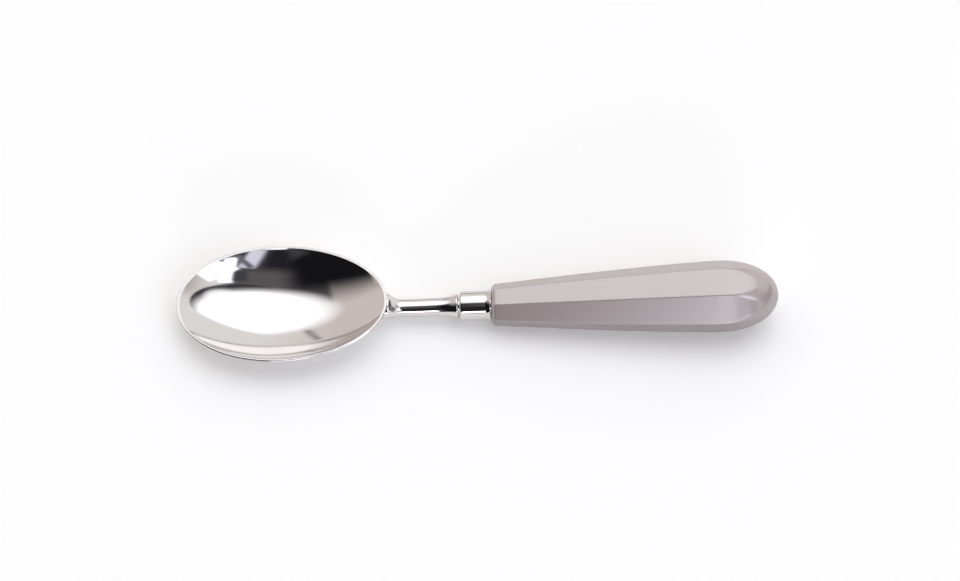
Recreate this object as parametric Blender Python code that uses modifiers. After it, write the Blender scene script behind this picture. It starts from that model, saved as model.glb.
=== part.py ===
"""Quenelle spoon: an oval steel bowl, a round neck with a tang, a turned collar and a faceted resin handle.

Metres, +Z up. Every piece is drawn about the spoon's own axis, with X running from the tip of the bowl to
the butt. The pieces hang on one empty, which lays the spoon down as it lies on a table: on the belly of the
bowl and on the flat under the thick part of the handle, with the origin under the middle of its outline.
"""

import math

import bmesh
import bpy
from mathutils import Matrix, Vector

# Gaps between pieces
SEAT_GAP = 0.0003
GLUE_GAP = 0.0001

# Bowl, pressed from sheet; its depth is measured outside, from the rim down. It is the lowest part of an
# egg-shaped ball. Its steepness is near 0 for a shallow dish and 1 for half of the ball, with an upright wall.
# The rim stands above the axis at the neck and rises from there to the tip.
BOWL_LENGTH = 0.0704
BOWL_WIDTH = 0.0430
BOWL_DEPTH = 0.0096
BOWL_STEEPNESS = 0.715
BOWL_SHEET = 0.0009
BOWL_TIP_FULLNESS = 0.037
RIM_ROUNDING = 0.0004
RIM_ABOVE_AXIS = 0.0063
BOWL_TIP_RISE = 0.0020

# Neck, from the end of the bowl's rim to its shoulder, its root, which flares up to the rim and reaches on
# under the bowl as a tongue, and the tang at its other end
NECK_LENGTH = 0.0231
NECK_WAIST_DIAMETER = 0.0062
NECK_WAIST_FROM_RIM = 0.0087
NECK_SHOULDER_DIAMETER = 0.0086
NECK_SHOULDER_ROUNDING = 0.0005
ROOT_BELOW_RIM = 0.0005
ROOT_LENGTH = 0.0046
ROOT_REACH = 0.0145
ROOT_END_THICKNESS = 0.0005
TANG_DIAMETER = 0.0052
TANG_IN_HANDLE = 0.0580
TANG_POINT = 0.0012

# Collar
COLLAR_LENGTH = 0.0103
COLLAR_DIAMETER = 0.0100
COLLAR_SHOULDER_ROUNDING = 0.0009
COLLAR_FLARE_DIAMETER = 0.0107
COLLAR_FLARE_LENGTH = 0.0016

# Handle: its eight-sided section at the front face and at the widest place, and the dome of the butt
HANDLE_LENGTH = 0.0954
WIDEST_FROM_FRONT = 0.0749
FRONT_WIDTH = 0.0134
FRONT_HEIGHT = 0.0116
FRONT_TOP_FLAT = 0.0057
FRONT_SIDE_FLAT = 0.0038
WIDEST_WIDTH = 0.0235
WIDEST_HEIGHT = 0.0205
WIDEST_TOP_FLAT = 0.0097
WIDEST_SIDE_FLAT = 0.0062
FRONT_ROUNDING = 0.0018
EDGE_ROUNDING = 0.0006
REST_FLAT_DEPTH = 0.0001
BORE_WALL_OF_GLUE = 0.0006
BORE_SPARE_DEPTH = 0.0012

# Curve laws: powers that shape the swell of the handle, its butt, the neck and the flare of its root, how far
# down its sides the root flares, and the shares of the butt over which its facets melt into a dome
SWELL_POWER = 1.3
BUTT_POWER = 2.5
WAIST_POWER = 5
FLARE_POWER = 1.9
FLARE_DROP = 0.5
MELT_START = 0.15
MELT_END = 0.9

# How finely round shapes are cut, and which edges stay crisp
BOWL_AROUND = 72
BOWL_DOWN = 18
RIM_SEGMENTS = 3
TURNED_STEPS = 40
ARC_POINTS = 6
CORNER_POINTS = 4
HANDLE_STATIONS = 18
BUTT_STATIONS = 14
ROOT_STATIONS = 7
TONGUE_STATIONS = 9
BARREL_STATIONS = 14
FRONT_STATIONS = 4
COLLAR_FLARE_STATIONS = 4
CRISP_ANGLE = math.radians(32)
AXIS_MERGE = 0.00001

# The search for how the spoon lies: the steepest way, and how often the search halves
STEEPEST_REST = math.radians(12)
HALVINGS = 32

# Places along the axis, from the tip of the bowl
BOWL_CENTRE = BOWL_LENGTH / 2
SHOULDER_FACE = BOWL_LENGTH + NECK_LENGTH
COLLAR_FRONT = SHOULDER_FACE + SEAT_GAP
COLLAR_BACK = COLLAR_FRONT + COLLAR_LENGTH
HANDLE_FRONT = COLLAR_BACK + SEAT_GAP
WIDEST_PLACE = HANDLE_FRONT + WIDEST_FROM_FRONT
BUTT_END = HANDLE_FRONT + HANDLE_LENGTH
TANG_END = HANDLE_FRONT + TANG_IN_HANDLE
BORE_RADIUS = TANG_DIAMETER / 2 + BORE_WALL_OF_GLUE
BORE_END = TANG_END + BORE_SPARE_DEPTH

# The ball that the bowl is part of
BALL_HALF_LENGTH = BOWL_LENGTH / 2 / math.sqrt(BOWL_STEEPNESS)
BALL_HALF_WIDTH = BOWL_WIDTH / 2 / math.sqrt(BOWL_STEEPNESS)
BALL_HALF_HEIGHT = BOWL_DEPTH / (1 - math.sqrt(1 - BOWL_STEEPNESS))
BALL_CENTRE_HEIGHT = RIM_ABOVE_AXIS - BOWL_DEPTH + BALL_HALF_HEIGHT


def clear_scene():
    """Remove whatever objects the scene already holds."""
    for obj in list(bpy.data.objects):
        bpy.data.objects.remove(obj)


def new_collection(name):
    """Make a collection in the scene."""
    collection = bpy.data.collections.new(name)
    bpy.context.scene.collection.children.link(collection)
    return collection


def finish(name, colour, roughness, metallic):
    """Make a plain Principled finish."""
    material = bpy.data.materials.new(name)
    material.use_nodes = True
    shader = material.node_tree.nodes["Principled BSDF"]
    shader.inputs["Base Color"].default_value = (*colour, 1.0)
    shader.inputs["Roughness"].default_value = roughness
    shader.inputs["Metallic"].default_value = metallic
    return material


def new_object(name, mesh, collection, carrier, material=None):
    """Put a mesh in the scene, carried by the spoon's axis."""
    obj = bpy.data.objects.new(name, mesh)
    collection.objects.link(obj)
    obj.parent = carrier
    if material:
        mesh.materials.append(material)
        mesh.shade_smooth()
        mesh.set_sharp_from_angle(angle=CRISP_ANGLE)
    return obj


def cutter(obj):
    """Turn an object into a hidden cutter."""
    obj.hide_render = True
    obj.display_type = "WIRE"
    return obj


def cut(obj, tool, name):
    """Cut one solid out of another."""
    modifier = obj.modifiers.new(name, "BOOLEAN")
    modifier.operation = "DIFFERENCE"
    modifier.object = tool


def block(name, size, collection, carrier):
    """Make a hidden block to cut with, centred on its own origin."""
    shape = bmesh.new()
    bmesh.ops.create_cube(shape, size=1, matrix=Matrix.Diagonal((*size, 1)))
    return cutter(new_object(name, mesh_of(name, shape), collection, carrier))


def mesh_of(name, shape):
    """Turn a bmesh into a mesh with its faces pointing out."""
    bmesh.ops.recalc_face_normals(shape, faces=shape.faces)
    mesh = bpy.data.meshes.new(name)
    shape.to_mesh(mesh)
    shape.free()
    return mesh


def lofted(name, rings, first_point=None, last_point=None):
    """Skin a closed solid over rings of equally many points; an end closes on a point or with a flat face."""
    shape = bmesh.new()
    loops = [[shape.verts.new(point) for point in ring] for ring in rings]
    for low, high in zip(loops, loops[1:]):
        for i in range(len(low)):
            shape.faces.new((low[i - 1], low[i], high[i], high[i - 1]))
    for loop, point in ((loops[0], first_point), (loops[-1], last_point)):
        if point is None:
            shape.faces.new(loop)
            continue
        tip = shape.verts.new(point)
        for i in range(len(loop)):
            shape.faces.new((loop[i - 1], loop[i], tip))
    return mesh_of(name, shape)


def turned(name, profile, collection, carrier, material, start):
    """Turn a closed profile of (radius, place) points about the axis, from a start place along it."""
    shape = bmesh.new()
    points = [shape.verts.new((radius, 0, place)) for radius, place in profile]
    on_axis = profile[0][0] == 0
    for i in range(1 if on_axis else 0, len(points)):
        shape.edges.new((points[i - 1], points[i]))
    mesh = bpy.data.meshes.new(name)
    shape.to_mesh(mesh)
    shape.free()
    obj = new_object(name, mesh, collection, carrier, material)
    obj.rotation_euler = (0, math.pi / 2, 0)
    obj.location = (start, 0, 0)
    screw = obj.modifiers.new("Turning", "SCREW")
    screw.axis = "Z"
    screw.steps = TURNED_STEPS
    screw.render_steps = TURNED_STEPS
    screw.use_merge_vertices = True
    screw.merge_threshold = AXIS_MERGE
    screw.use_smooth_shade = True
    return obj


def arc(radius, centre_radius, centre_place, from_angle, to_angle):
    """Points of a round in a turned profile, as (radius, place)."""
    points = []
    for i in range(ARC_POINTS):
        angle = from_angle + (to_angle - from_angle) * i / (ARC_POINTS - 1)
        points.append((centre_radius + radius * math.cos(angle), centre_place + radius * math.sin(angle)))
    return points


def smooth_step(value):
    """Ease from 0 to 1."""
    value = min(max(value, 0), 1)
    return value * value * (3 - 2 * value)


def tip_fullness(x):
    """How much wider than an ellipse the bowl is at a place along the axis."""
    return 1 - BOWL_TIP_FULLNESS * (x - BOWL_CENTRE) / (BOWL_LENGTH / 2)


def tip_rise(x):
    """How much higher the bowl sits at a place along the axis than at the neck, as it points up a little."""
    return BOWL_TIP_RISE * (1 - x / BOWL_LENGTH)


def bowl_underside(x, y, gap):
    """How high the bowl's underside is at (x, y), held off by a gap."""
    along = (x - BOWL_CENTRE) / (BALL_HALF_LENGTH + gap)
    across = y / ((BALL_HALF_WIDTH + gap) * tip_fullness(x))
    down = math.sqrt(max(1 - along * along - across * across, 0))
    return BALL_CENTRE_HEIGHT + tip_rise(x) - (BALL_HALF_HEIGHT + gap) * down


def make_bowl(parts, carrier, material):
    """Pressed bowl: the lowest part of an egg-shaped ball as sheet, its rim rounded over."""
    shape = bmesh.new()
    bmesh.ops.create_uvsphere(shape, u_segments=BOWL_AROUND, v_segments=2 * BOWL_DOWN, radius=1)
    upper = [vert for vert in shape.verts if vert.co.z > AXIS_MERGE]
    bmesh.ops.delete(shape, geom=upper, context="VERTS")
    opening = math.asin(math.sqrt(BOWL_STEEPNESS))
    for vert in shape.verts:
        around = math.atan2(vert.co.y, vert.co.x)
        rise = opening * math.atan2(math.hypot(vert.co.x, vert.co.y), -vert.co.z) / (math.pi / 2)
        x = BOWL_CENTRE + BALL_HALF_LENGTH * math.sin(rise) * math.cos(around)
        y = BALL_HALF_WIDTH * math.sin(rise) * math.sin(around) * tip_fullness(x)
        vert.co = (x, y, BALL_CENTRE_HEIGHT + tip_rise(x) - BALL_HALF_HEIGHT * math.cos(rise))
    bowl = new_object("bowl", mesh_of("bowl", shape), parts, carrier, material)
    sheet = bowl.modifiers.new("Sheet", "SOLIDIFY")
    sheet.thickness = BOWL_SHEET
    sheet.offset = -1
    sheet.use_even_offset = True
    ease = bowl.modifiers.new("Rim easing", "BEVEL")
    ease.width = RIM_ROUNDING
    ease.segments = RIM_SEGMENTS
    ease.limit_method = "ANGLE"
    ease.angle_limit = CRISP_ANGLE
    return bowl


def round_ring(radius, place):
    """A round ring square to the axis."""
    turns = [2 * math.pi * i / TURNED_STEPS for i in range(TURNED_STEPS)]
    return [(place, radius * math.sin(turn), radius * math.cos(turn)) for turn in turns]


def root_ring(from_rim):
    """A ring of the neck's root at a distance from the end of the rim, which is negative under the bowl.

    The ring flares upwards towards the rim. Under the bowl it is cut to the bowl's back, narrows, and its
    lower half sweeps up, so that the root ends as a tongue.
    """
    place = BOWL_LENGTH + from_rim
    waist = NECK_WAIST_DIAMETER / 2
    flare = (RIM_ABOVE_AXIS - ROOT_BELOW_RIM - waist) * (1 - max(from_rim, 0) / ROOT_LENGTH) ** FLARE_POWER
    under = max(-from_rim, 0) / ROOT_REACH
    end = bowl_underside(BOWL_LENGTH - ROOT_REACH, 0, SEAT_GAP) - ROOT_END_THICKNESS
    sweep = 1 - (1 + end / waist) * under**2
    points = []
    for _, across, up in round_ring(1, place):
        radius = waist + flare * smooth_step((FLARE_DROP + up) / (FLARE_DROP + 1))
        y = radius * across * math.sqrt(1 - under**2)
        z = radius * up * (1 if up > 0 else sweep)
        points.append((place, y, min(z, bowl_underside(place, y, SEAT_GAP))))
    return points


def make_neck(parts, carrier, material):
    """Neck: a tongue under the bowl, a root flaring up to the rim, a waisted barrel, a shoulder and a tang."""
    waist, shoulder, tang = NECK_WAIST_DIAMETER / 2, NECK_SHOULDER_DIAMETER / 2, TANG_DIAMETER / 2
    quarter = math.pi / 2
    turns = [quarter * (i + 0.5) / TONGUE_STATIONS for i in range(TONGUE_STATIONS)]
    rings = [root_ring(-ROOT_REACH * math.cos(turn)) for turn in turns]
    rings += [root_ring(ROOT_LENGTH * i / ROOT_STATIONS) for i in range(ROOT_STATIONS + 1)]
    waist_place = BOWL_LENGTH + NECK_WAIST_FROM_RIM
    barrel_end = SHOULDER_FACE - NECK_SHOULDER_ROUNDING
    for i in range(BARREL_STATIONS + 1):
        share = i / BARREL_STATIONS
        radius = waist + (shoulder - waist) * share**WAIST_POWER
        rings.append(round_ring(radius, waist_place + (barrel_end - waist_place) * share))
    easing = NECK_SHOULDER_ROUNDING
    rings += [round_ring(r, p) for r, p in arc(easing, shoulder - easing, barrel_end, 0, quarter)[1:]]
    rings.append(round_ring(tang, SHOULDER_FACE))
    rings.append(round_ring(tang, TANG_END - TANG_POINT))
    rings.append(round_ring(tang - TANG_POINT / 2, TANG_END))
    tongue_end = BOWL_LENGTH - ROOT_REACH
    tip = (tongue_end, 0, bowl_underside(tongue_end, 0, SEAT_GAP) - ROOT_END_THICKNESS / 2)
    return new_object("neck", lofted("neck", rings, first_point=tip), parts, carrier, material)


def make_collar(parts, carrier, material):
    """Turned collar, a close sliding fit on the tang."""
    bore = TANG_DIAMETER / 2 + SEAT_GAP
    barrel, flare, easing = COLLAR_DIAMETER / 2, COLLAR_FLARE_DIAMETER / 2, COLLAR_SHOULDER_ROUNDING
    flare_start = COLLAR_LENGTH - COLLAR_FLARE_LENGTH
    profile = [(bore, COLLAR_LENGTH), (flare, COLLAR_LENGTH)]
    for i in range(1, COLLAR_FLARE_STATIONS + 1):
        share = i / COLLAR_FLARE_STATIONS
        radius = flare + (barrel - flare) * (1 - (1 - share) ** 2)
        profile.append((radius, COLLAR_LENGTH + (flare_start - COLLAR_LENGTH) * share))
    profile += arc(easing, barrel - easing, easing, 0, -math.pi / 2)
    profile.append((bore, 0))
    return turned("collar", profile, parts, carrier, material, COLLAR_FRONT)


def make_adhesive(parts, carrier, material):
    """Set adhesive: a sleeve round the tang, closed by what pools at the end of the bore."""
    inner, outer = TANG_DIAMETER / 2 + GLUE_GAP, BORE_RADIUS - GLUE_GAP
    pool_start = TANG_END - HANDLE_FRONT + SEAT_GAP
    pool_end = BORE_END - HANDLE_FRONT - SEAT_GAP
    profile = [(0, pool_end), (outer, pool_end), (outer, SEAT_GAP)]
    profile += [(inner, SEAT_GAP), (inner, pool_start), (0, pool_start)]
    return turned("tang_adhesive", profile, parts, carrier, material, HANDLE_FRONT)


def eight_sided(width, height, top_flat, side_flat, rounding):
    """An eight-sided section with rounded corners, as (y, z) points from the right side round by the top."""
    corners = []
    for sign_y, sign_z in ((1, 1), (-1, 1), (-1, -1), (1, -1)):
        side = Vector((sign_y * width / 2, sign_z * side_flat / 2))
        top = Vector((sign_y * top_flat / 2, sign_z * height / 2))
        corners += [side, top] if sign_y == sign_z else [top, side]
    points = []
    for i, corner in enumerate(corners):
        back = (corners[i - 1] - corner).normalized()
        ahead = (corners[(i + 1) % len(corners)] - corner).normalized()
        half_turn = (math.pi - back.angle(ahead)) / 2
        centre = corner + (back + ahead).normalized() * rounding / math.cos(half_turn)
        start = corner + back * rounding * math.tan(half_turn) - centre
        for step in range(CORNER_POINTS):
            turn = Matrix.Rotation(2 * half_turn * step / (CORNER_POINTS - 1), 2)
            points.append(centre + turn @ start)
    return points


def oval(width, height):
    """An oval section whose points pair with those of the eight-sided section."""
    count = 8 * CORNER_POINTS
    points = []
    for i in range(count):
        angle = math.pi / 8 + 2 * math.pi * (i - (CORNER_POINTS - 1) / 2) / count
        points.append(Vector((width / 2 * math.cos(angle), height / 2 * math.sin(angle))))
    return points


def handle_section(place):
    """The handle's section at a distance from its front face, short of the widest place."""
    left = (1 - place / WIDEST_FROM_FRONT) ** SWELL_POWER
    inset = 0.0
    if place < FRONT_ROUNDING:
        inset = FRONT_ROUNDING - math.sqrt(FRONT_ROUNDING**2 - (FRONT_ROUNDING - place) ** 2)
    flat_inset = 2 * inset * math.tan(math.pi / 8)
    return eight_sided(
        WIDEST_WIDTH + (FRONT_WIDTH - WIDEST_WIDTH) * left - 2 * inset,
        WIDEST_HEIGHT + (FRONT_HEIGHT - WIDEST_HEIGHT) * left - 2 * inset,
        WIDEST_TOP_FLAT + (FRONT_TOP_FLAT - WIDEST_TOP_FLAT) * left - flat_inset,
        WIDEST_SIDE_FLAT + (FRONT_SIDE_FLAT - WIDEST_SIDE_FLAT) * left - flat_inset,
        EDGE_ROUNDING,
    )


def butt_section(share):
    """The section at a share of the butt, 0 at the widest place and 1 at the end: facets melt into a dome."""
    scale = math.sqrt(1 - share**BUTT_POWER)
    width, height = WIDEST_WIDTH * scale, WIDEST_HEIGHT * scale
    faceted = eight_sided(
        width, height, WIDEST_TOP_FLAT * scale, WIDEST_SIDE_FLAT * scale, EDGE_ROUNDING * scale
    )
    melt = smooth_step((share - MELT_START) / (MELT_END - MELT_START))
    return [sharp.lerp(soft, melt) for sharp, soft in zip(faceted, oval(width, height))]


def make_handle(parts, cutters, carrier, material):
    """Handle: a loft over eight-sided sections, rounded in front, domed at the butt and bored for the tang."""
    rings = []

    def add(place, section):
        rings.append([(HANDLE_FRONT + place, point.x, point.y) for point in section])

    for i in range(FRONT_STATIONS):
        place = FRONT_ROUNDING * (1 - math.cos(math.pi / 2 * i / FRONT_STATIONS))
        add(place, handle_section(place))
    for i in range(HANDLE_STATIONS):
        place = FRONT_ROUNDING + (WIDEST_FROM_FRONT - FRONT_ROUNDING) * i / HANDLE_STATIONS
        add(place, handle_section(place))
    for i in range(BUTT_STATIONS):
        share = math.sin(math.pi / 2 * i / BUTT_STATIONS)
        add(WIDEST_FROM_FRONT + (HANDLE_LENGTH - WIDEST_FROM_FRONT) * share, butt_section(share))
    handle = new_object(
        "handle", lofted("handle", rings, last_point=(BUTT_END, 0, 0)), parts, carrier, material
    )
    drill = bmesh.new()
    length = BORE_END - HANDLE_FRONT
    bmesh.ops.create_cone(
        drill,
        cap_ends=True,
        segments=TURNED_STEPS,
        radius1=BORE_RADIUS,
        radius2=BORE_RADIUS,
        depth=2 * length,
        matrix=Matrix.Translation((HANDLE_FRONT, 0, 0)) @ Matrix.Rotation(math.pi / 2, 4, "Y"),
    )
    cut(handle, cutter(new_object("bore_drill", mesh_of("bore_drill", drill), cutters, carrier)), "Tang bore")
    return handle


def lowest(obj, pitch):
    """How low a piece reaches below the origin when the axis rises at a pitch towards the butt."""
    return min(vert.co.x * math.sin(pitch) + vert.co.z * math.cos(pitch) for vert in obj.data.vertices)


def lay_down(carrier, bowl, handle):
    """Tip the spoon until the bowl's belly and the rest flat are level, over the middle of its outline."""
    shallow, steep = 0.0, STEEPEST_REST
    for _ in range(HALVINGS):
        pitch = (shallow + steep) / 2
        if lowest(bowl, pitch) > lowest(handle, pitch) + REST_FLAT_DEPTH:
            shallow = pitch
        else:
            steep = pitch
    carrier.rotation_euler = (0, -pitch, 0)
    carrier.location.z = -lowest(bowl, pitch)
    bpy.context.view_layer.update()
    ends = [(part.matrix_world @ vert.co).x for part in (bowl, handle) for vert in part.data.vertices]
    carrier.location.x = -(min(ends) + max(ends)) / 2
    bpy.context.view_layer.update()


def flatten_rest(handle, cutters):
    """Take the handle's underside down to the table, which leaves the flat that the spoon rests on."""
    table = block("rest_table", (2 * BUTT_END, 2 * WIDEST_WIDTH, WIDEST_HEIGHT), cutters, None)
    table.location = (0, 0, -WIDEST_HEIGHT / 2)
    cut(handle, table, "Rest flat")


def main():
    """Build the spoon."""
    clear_scene()
    parts, cutters = new_collection("quenelle_spoon"), new_collection("cutters")
    axis = bpy.data.objects.new("spoon_axis", None)
    parts.objects.link(axis)
    steel = finish("polished_steel", (0.78, 0.77, 0.76), 0.08, 1.0)
    resin = finish("greige_resin", (0.42, 0.37, 0.36), 0.32, 0.0)
    glue = finish("set_adhesive", (0.62, 0.52, 0.34), 0.45, 0.0)
    bowl = make_bowl(parts, axis, steel)
    make_neck(parts, axis, steel)
    make_collar(parts, axis, steel)
    handle = make_handle(parts, cutters, axis, resin)
    make_adhesive(parts, axis, glue)
    lay_down(axis, bowl, handle)
    flatten_rest(handle, cutters)


main()
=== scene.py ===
"""Looks of the quenelle spoon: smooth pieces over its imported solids, their finishes and a soft studio.

Metres, +Z up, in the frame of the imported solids. Each piece is drawn about the spoon's own axis, with X
running from the tip of the bowl to the butt of the handle, and is then laid on the solids by the axis read
from those turned on it.
"""

import logging
import math
from dataclasses import dataclass, field
from enum import Enum

import bmesh
import bpy
from mathutils import Matrix, Vector

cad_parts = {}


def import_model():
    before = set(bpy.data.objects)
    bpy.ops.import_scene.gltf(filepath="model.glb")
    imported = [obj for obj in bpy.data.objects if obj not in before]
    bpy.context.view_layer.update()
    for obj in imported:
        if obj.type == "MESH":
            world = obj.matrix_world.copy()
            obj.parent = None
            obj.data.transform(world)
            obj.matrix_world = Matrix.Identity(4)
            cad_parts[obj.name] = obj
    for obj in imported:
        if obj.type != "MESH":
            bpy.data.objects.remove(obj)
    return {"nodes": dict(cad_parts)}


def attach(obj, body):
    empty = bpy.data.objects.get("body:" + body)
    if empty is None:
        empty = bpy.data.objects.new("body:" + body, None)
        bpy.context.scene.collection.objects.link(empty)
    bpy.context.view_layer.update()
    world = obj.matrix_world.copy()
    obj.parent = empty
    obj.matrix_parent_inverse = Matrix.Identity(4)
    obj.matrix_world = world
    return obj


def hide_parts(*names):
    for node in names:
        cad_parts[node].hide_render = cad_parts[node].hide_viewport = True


LOG = logging.getLogger("quenelle_spoon")
BODY = "root"
# How far the collar's front face lies from the tip of the bowl, along the axis.
COLLAR_PLACE = 0.0938
# The gap between the neck's shoulder and the collar.
SEAM = 0.0003
# The turn between two faces from which their edge stays crisp.
CRISP_STEEL = math.radians(50)
CRISP_RESIN = math.radians(60)
# Values between which a noise mostly lies.
NOISE_LOW = 0.3
NOISE_HIGH = 0.7
# A small angle, for finding the direction of a surface.
NUDGE = 0.001

Colour = tuple[float, float, float]
Stretch = tuple[float, float, float]
Profile = list[tuple[float, float]]
Ring = list[Vector]
Socket = bpy.types.NodeSocket


class Slot(Enum):
    """The record's material slots."""

    STEEL = "polished_steel"
    RESIN = "greige_resin"
    GLUE = "set_adhesive"


class Node(Enum):
    """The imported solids, one for each piece of the spoon."""

    BOWL = "bowl"
    NECK = "neck"
    COLLAR = "collar"
    HANDLE = "handle"
    GLUE = "tang_adhesive"


class Graph:
    """A node tree under construction, whose nodes are added by short calls."""

    def __init__(self, tree: bpy.types.NodeTree) -> None:
        """Start from the emptied tree of a material or of the world."""
        self.tree = tree
        self.tree.nodes.clear()

    def add(self, kind: str, **settings: object) -> bpy.types.Node:
        """Add a node.

        Args:
            kind: The node's type, without its usual prefix.
            **settings: Properties to set on the node.

        Returns:
            The new node.
        """
        node = self.tree.nodes.new("ShaderNode" + kind)
        for name, value in settings.items():
            setattr(node, name, value)
        return node

    def feed(self, socket: Socket, value: object) -> None:
        """Give a socket its value, by a link if the value is a socket itself.

        Args:
            socket: The input to feed.
            value: A socket to link from, a number, a vector or a colour.
        """
        if isinstance(value, Socket):
            self.tree.links.new(value, socket)
        elif socket.type == "RGBA":
            socket.default_value = (*value, 1.0)
        else:
            socket.default_value = value

    def operate(self, kind: str, operation: str, values: tuple[object, ...]) -> bpy.types.Node:
        """Add a node of an operation.

        Args:
            kind: The node's type, without its usual prefix.
            operation: Its operation.
            values: Its inputs, as sockets, numbers or vectors.

        Returns:
            The new node.
        """
        node = self.add(kind, operation=operation)
        for socket, value in zip(node.inputs, values):
            self.feed(socket, value)
        return node

    def math(self, operation: str, *values: object) -> Socket:
        """Add a Math node, and give its result."""
        return self.operate("Math", operation, values).outputs["Value"]

    def vector(self, operation: str, *values: object) -> Socket:
        """Add a Vector Math node, and give its result as a vector."""
        return self.operate("VectorMath", operation, values).outputs["Vector"]

    def length(self, vector: Socket) -> Socket:
        """Measure the length of a vector."""
        return self.operate("VectorMath", "LENGTH", (vector,)).outputs["Value"]

    def axes(self, place: Socket) -> bpy.types.NodeOutputs:
        """Take a vector apart.

        Args:
            place: The vector.

        Returns:
            The sockets of its X, Y and Z.
        """
        node = self.add("SeparateXYZ")
        self.feed(node.inputs["Vector"], place)
        return node.outputs

    def ranged(self, value: Socket, low: float, high: float, to_low: float, to_high: float) -> Socket:
        """Map a value smoothly from one range to another, held at both ends.

        Args:
            value: The value to map.
            low: Where the first range starts.
            high: Where the first range ends.
            to_low: What the start becomes.
            to_high: What the end becomes.

        Returns:
            The mapped value's socket.
        """
        node = self.add("MapRange", interpolation_type="SMOOTHSTEP")
        for name, number in (("From Min", low), ("From Max", high), ("To Min", to_low), ("To Max", to_high)):
            node.inputs[name].default_value = number
        self.feed(node.inputs["Value"], value)
        return node.outputs["Result"]

    def mixed(self, share: Socket, first: object, second: object) -> Socket:
        """Mix two colours.

        Args:
            share: How much of the second colour shows.
            first: A colour or a colour socket.
            second: A colour or a colour socket.

        Returns:
            The mixed colour's socket.
        """
        node = self.add("Mix", data_type="RGBA")
        colour_inputs = [socket for socket in node.inputs if socket.type == "RGBA"]
        self.feed(node.inputs["Factor"], share)
        self.feed(colour_inputs[0], first)
        self.feed(colour_inputs[1], second)
        return next(socket for socket in node.outputs if socket.type == "RGBA")


class Surface(Graph):
    """A material under construction, on one Principled shader."""

    def __init__(self, name: str) -> None:
        """Start the material, and find the place on the surface, in metres.

        Args:
            name: The material's name.
        """
        self.material = bpy.data.materials.new(name)
        self.material.use_nodes = True
        super().__init__(self.material.node_tree)
        self.shader = self.add("BsdfPrincipled")
        output = self.add("OutputMaterial")
        self.feed(output.inputs["Surface"], self.shader.outputs["BSDF"])
        self.place = self.add("TexCoord").outputs["Object"]

    def set(self, name: str, value: object) -> None:
        """Set an input of the shader, to a constant or by a link."""
        self.feed(self.shader.inputs[name], value)

    def noise(self, size: float, detail: float, stretch: Stretch = (1.0, 1.0, 1.0)) -> Socket:
        """Add a noise of a given grain.

        Args:
            size: The size of a grain, in metres.
            detail: How many finer layers it has.
            stretch: How many times longer a grain is along each axis.

        Returns:
            The noise's value, from 0 to 1.
        """
        scaled = self.vector("DIVIDE", self.place, stretch)
        node = self.add("TexNoise")
        node.inputs["Scale"].default_value = 1 / size
        node.inputs["Detail"].default_value = detail
        self.feed(node.inputs["Vector"], scaled)
        return node.outputs["Fac"]

    def bump(self, height: Socket, depth: float, under: Socket | None = None) -> Socket:
        """Raise the surface by a height map.

        Args:
            height: The height, from 0 to 1.
            depth: How high 1 is, in metres.
            under: A bump that this one lies on.

        Returns:
            The bumped normal's socket.
        """
        node = self.add("Bump")
        node.inputs["Strength"].default_value = 1.0
        node.inputs["Distance"].default_value = depth
        self.feed(node.inputs["Height"], height)
        if under:
            self.feed(node.inputs["Normal"], under)
        return node.outputs["Normal"]

    def spread(self, noise: Socket, low: float, high: float) -> Socket:
        """Spread a noise, which mostly lies near its middle, over a range of values."""
        return self.ranged(noise, NOISE_LOW, NOISE_HIGH, low, high)


@dataclass(frozen=True)
class PolishedSteel:
    """Mirror-polished stainless steel, with the haze and the fine lines that polishing leaves.

    Attributes:
        slot: The record's slot for it.
        colour: What the metal sends back, head on.
        hazed: The same where the polish is thinner.
        gloss: Roughness where the polish is best.
        haze: Roughness where it is thinner.
        haze_size: Size of a patch of haze.
        line_size: Width of a polishing line.
        line_stretch: How many times longer a polishing line is along each axis.
        line_depth: Depth of a polishing line.
        wave_size: Length of the slow waves that pressing and polishing leave.
        wave_depth: Depth of those waves.
    """

    slot: Slot = Slot.STEEL
    colour: Colour = (0.72, 0.70, 0.69)
    hazed: Colour = (0.69, 0.67, 0.66)
    gloss: float = 0.055
    haze: float = 0.095
    haze_size: float = 0.008
    line_size: float = 0.00012
    line_stretch: Stretch = (40.0, 1.0, 1.0)
    line_depth: float = 0.0000002
    wave_size: float = 0.016
    wave_depth: float = 0.00002

    def make(self) -> bpy.types.Material:
        """Make the material.

        Returns:
            The new material.
        """
        surface = Surface(self.slot.value)
        haze = surface.noise(self.haze_size, detail=5.0)
        surface.set("Base Color", surface.mixed(haze, self.colour, self.hazed))
        surface.set("Roughness", surface.spread(haze, self.gloss, self.haze))
        surface.set("Metallic", 1.0)
        waves = surface.bump(surface.noise(self.wave_size, detail=1.0), self.wave_depth)
        lines = surface.noise(self.line_size, detail=2.0, stretch=self.line_stretch)
        surface.set("Normal", surface.bump(lines, self.line_depth, waves))
        return surface.material


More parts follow.
